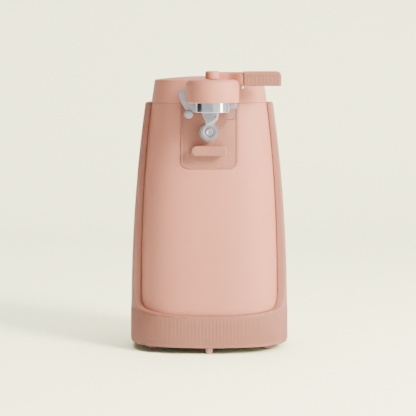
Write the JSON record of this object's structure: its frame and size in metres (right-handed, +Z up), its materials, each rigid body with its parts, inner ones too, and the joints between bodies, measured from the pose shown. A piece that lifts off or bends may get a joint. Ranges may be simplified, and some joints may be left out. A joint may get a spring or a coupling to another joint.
{
  "type": "electric can opener",
  "caption": "Upright electric can opener with a flared casing, convex front panel, toothed feed wheel, tilting cutting lever and floating lid magnet.",
  "frame": {"origin": "middle of the plan box, at table level under the feet", "axes": "+Z up, -Y out of the front with the cutter and magnet, +X to the right as the user faces the front, towards the grip"},
  "size_m": [0.1144, 0.1232, 0.2],
  "materials": {
    "rose_plastic": "satin moulded ABS, dusty rose",
    "foot_rubber": "soft rubber in the housing's colour",
    "polished_steel": "polished",
    "satin_steel": "satin",
    "zinc_steel": "zinc plated sheet",
    "dark_steel": "oiled steel",
    "nylon": "natural moulded nylon",
    "black_plastic": "black moulded",
    "ferrite": "unglazed ferrite",
    "copper_wire": "enamelled copper winding",
    "sintered_bronze": "oil-filled sintered bronze"
  },
  "bodies": {
    "housing": {"casing": "rose_plastic", "front_panel": "rose_plastic", "head_cover": "rose_plastic", "drive_plate": "rose_plastic", "drive_bush": "sintered_bronze", "lever_bush": "sintered_bronze", "can_rest": "rose_plastic", "base_plate": "rose_plastic", "front_foot": "foot_rubber", "left_foot": "foot_rubber", "right_foot": "foot_rubber", "rear_left_foot": "foot_rubber", "rear_right_foot": "foot_rubber", "base_screw_1": "dark_steel", "base_screw_2": "dark_steel", "base_screw_3": "dark_steel", "base_screw_4": "dark_steel", "cord_gland": "rose_plastic", "gearbox_front_plate": "zinc_steel", "gearbox_rear_plate": "zinc_steel", "gearbox_post_1": "zinc_steel", "gearbox_post_2": "zinc_steel", "gearbox_post_3": "zinc_steel", "gearbox_post_4": "zinc_steel", "second_axle": "dark_steel", "first_axle": "dark_steel", "motor_core": "dark_steel", "coil_bobbin": "black_plastic", "motor_coil": "copper_wire", "motor_front_bracket": "zinc_steel", "motor_rear_bracket": "zinc_steel", "front_bearing": "sintered_bronze", "rear_bearing": "sintered_bronze", "switch_body": "black_plastic"},
    "lever": {"lever_body": "rose_plastic", "lever_grip": "rose_plastic", "grip_pin": "polished_steel", "lever_shaft": "dark_steel", "switch_cam": "black_plastic", "cutter_bracket": "satin_steel", "guide_pin": "satin_steel", "rim_guide": "satin_steel", "cutting_blade": "satin_steel", "blade_screw": "dark_steel"},
    "magnet": {"magnet_cup": "polished_steel", "magnet_disc": "ferrite", "magnet_knob": "rose_plastic"},
    "feed_drive": {"drive_shaft": "dark_steel", "output_gear": "nylon", "feed_wheel": "satin_steel", "wheel_screw": "dark_steel"},
    "second_idler": {"second_gear": "nylon"},
    "first_idler": {"first_gear": "nylon"},
    "rotor": {"rotor_shaft": "dark_steel", "rotor_core": "dark_steel", "cooling_fan": "black_plastic"},
    "switch_plunger": {"switch_button": "nylon"}
  },
  "joints": [
    {"name": "lever_tilt", "type": "hinge", "parent": "housing", "child": "lever", "pos_m": [-0.008, -0.01819, 0.18], "axis": [0, -1, 0], "range_deg": [-3, 40]},
    {"name": "magnet_lift", "type": "slide", "parent": "lever", "child": "magnet", "axis": [0, 0, 1], "range_m": [0, 0.004]},
    {"name": "rotor_spin", "type": "hinge", "parent": "housing", "child": "rotor", "pos_m": [0, 0.02811, 0.10555], "axis": [0, 1, 0], "continuous": true},
    {"name": "first_idler_spin", "type": "hinge", "parent": "housing", "child": "first_idler", "pos_m": [0, 0.00261, 0.12715], "axis": [0, 1, 0], "continuous": true},
    {"name": "second_idler_spin", "type": "hinge", "parent": "housing", "child": "second_idler", "pos_m": [-0.01527, 0.00261, 0.14243], "axis": [0, 1, 0], "continuous": true},
    {"name": "feed_spin", "type": "hinge", "parent": "housing", "child": "feed_drive", "pos_m": [0, -0.00582, 0.1577], "axis": [0, 1, 0], "continuous": true},
    {"name": "switch_press", "type": "slide", "parent": "housing", "child": "switch_plunger", "axis": [0, 0, -1], "range_m": [0, 0.001], "stiffness_N_per_m": 250, "springref_m": -0.0012}
  ],
  "couplings": [
    {"joint": "first_idler_spin", "follows": "rotor_spin", "ratio": -0.26316},
    {"joint": "second_idler_spin", "follows": "rotor_spin", "ratio": 0.069252},
    {"joint": "feed_spin", "follows": "rotor_spin", "ratio": -0.018224}
  ]
}
